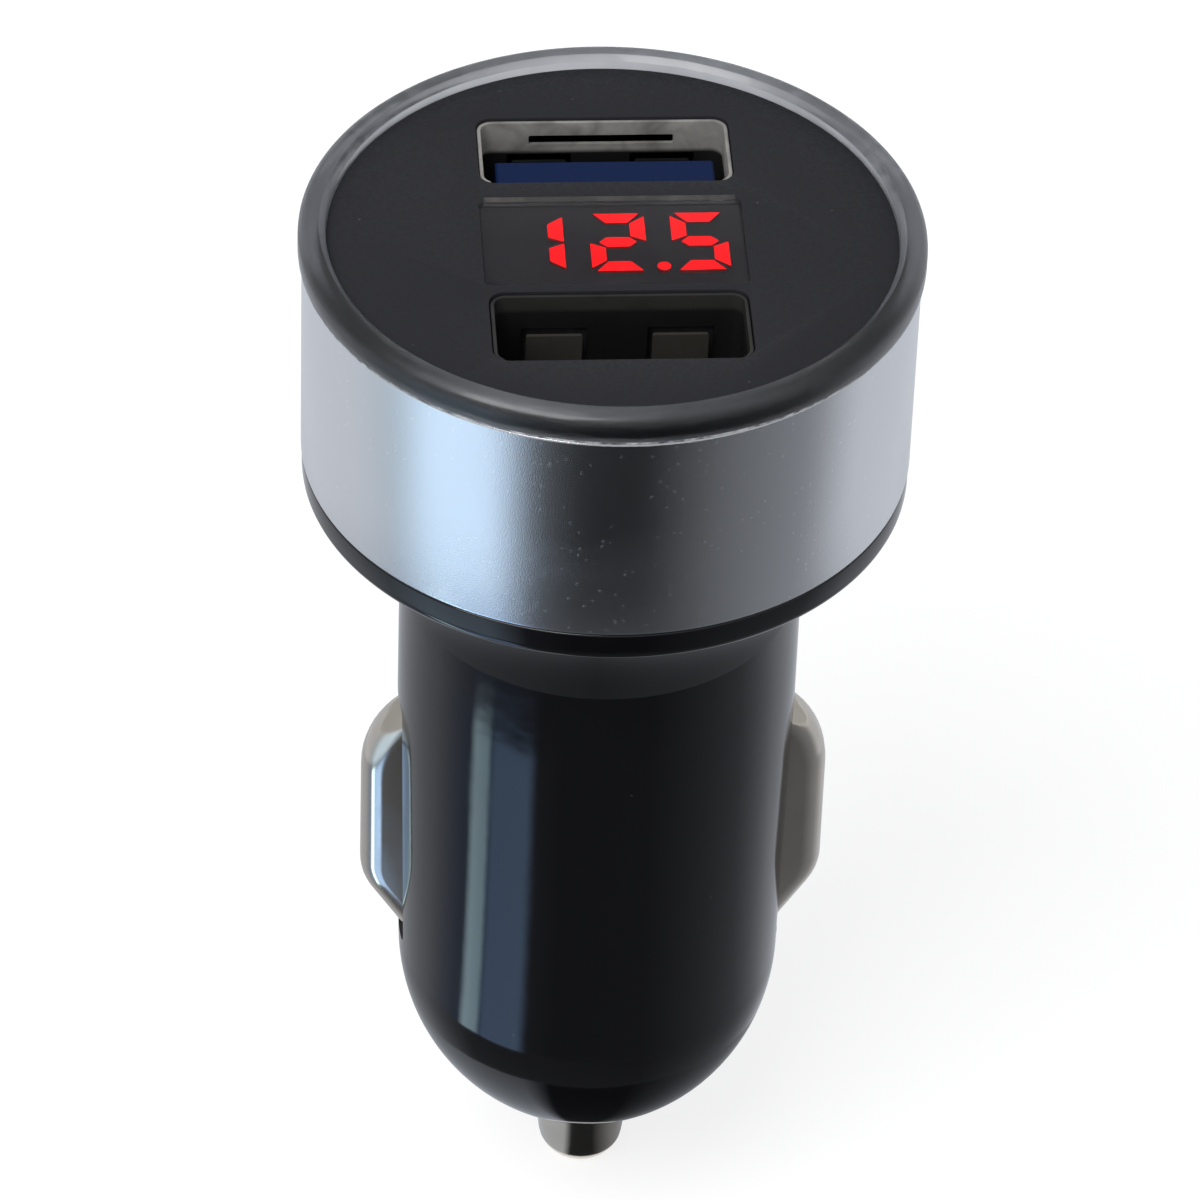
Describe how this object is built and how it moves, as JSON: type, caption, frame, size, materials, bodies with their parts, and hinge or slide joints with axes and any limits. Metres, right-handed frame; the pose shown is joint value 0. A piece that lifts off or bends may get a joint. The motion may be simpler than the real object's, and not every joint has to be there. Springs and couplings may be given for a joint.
{
  "type": "car charger plug",
  "caption": "Plug for a car's 12 V socket with a round metal-banded head, charging ports and a voltage display in its face, sprung side contacts on a tapered barrel and a sprung centre tip.",
  "frame": {"origin": "on the plug's axis at the seat, where the straight barrel begins under the flared neck", "axes": "+Z along the plug, out of the face; X along the ports' long sides; -Y towards the lower port"},
  "size_m": [0.0315, 0.0316, 0.0633],
  "materials": {
    "black_gloss": "glossy black moulding",
    "satin_aluminium": "satin, turned",
    "clear_plastic": "clear, polished",
    "dark_face": "fine matt",
    "smoked_lens": "smoked, polished",
    "lit_red": "lit display segments",
    "port_steel": "plated sheet",
    "blue_insulator": "moulded",
    "black_insulator": "moulded",
    "gold_strip": "gold plated",
    "bright_plate": "bright plated, pressed or turned",
    "spring_steel": "spring steel",
    "display_case": "cast block",
    "tinned_leg": "tinned",
    "board_green": "solder mask",
    "ferrite": "sintered",
    "copper": "enamelled copper winding",
    "can_aluminium": "drawn can",
    "chip_black": "moulded chip",
    "chip_ceramic": "ceramic chip parts"
  },
  "bodies": {
    "plug": {"plug_shell": "black_gloss", "aluminium_ring": "satin_aluminium", "clear_bezel": "clear_plastic", "face_panel": "dark_face", "display_lens": "smoked_lens", "digit_segments": "lit_red", "usb_upper_shell": "port_steel", "usb_upper_tongue": "blue_insulator", "usb_upper_pins": "gold_strip", "usb_lower_shell": "port_steel", "usb_lower_tongue": "black_insulator", "usb_lower_pins": "gold_strip", "display_block": "display_case", "display_pins": "tinned_leg", "head_board": "board_green", "main_board": "board_green", "choke_core": "ferrite", "choke_winding": "copper", "input_capacitor": "can_aluminium", "output_capacitor": "can_aluminium", "regulator_chip": "chip_black", "rectifier_diode": "chip_black", "meter_chip": "chip_black", "chip_parts": "chip_ceramic", "contact_spring": "spring_steel", "ground_spring_left": "spring_steel", "ground_spring_right": "spring_steel"},
    "tip": {"centre_contact": "bright_plate"},
    "left_contact": {"side_contact_left": "bright_plate"},
    "right_contact": {"side_contact_right": "bright_plate"}
  },
  "joints": [
    {"name": "tip_press", "type": "slide", "parent": "plug", "child": "tip", "axis": [0, 0, 1], "range_m": [0, 0.0025], "stiffness_N_per_m": 1100, "springref_m": -0.002, "deforming": ["contact_spring"]},
    {"name": "left_contact_press", "type": "slide", "parent": "plug", "child": "left_contact", "axis": [1, 0, 0], "range_m": [0, 0.002], "stiffness_N_per_m": 1500, "springref_m": -0.001, "deforming": ["ground_spring_left"]},
    {"name": "right_contact_press", "type": "slide", "parent": "plug", "child": "right_contact", "axis": [-1, 0, 0], "range_m": [0, 0.002], "stiffness_N_per_m": 1500, "springref_m": -0.001, "deforming": ["ground_spring_right"]}
  ]
}
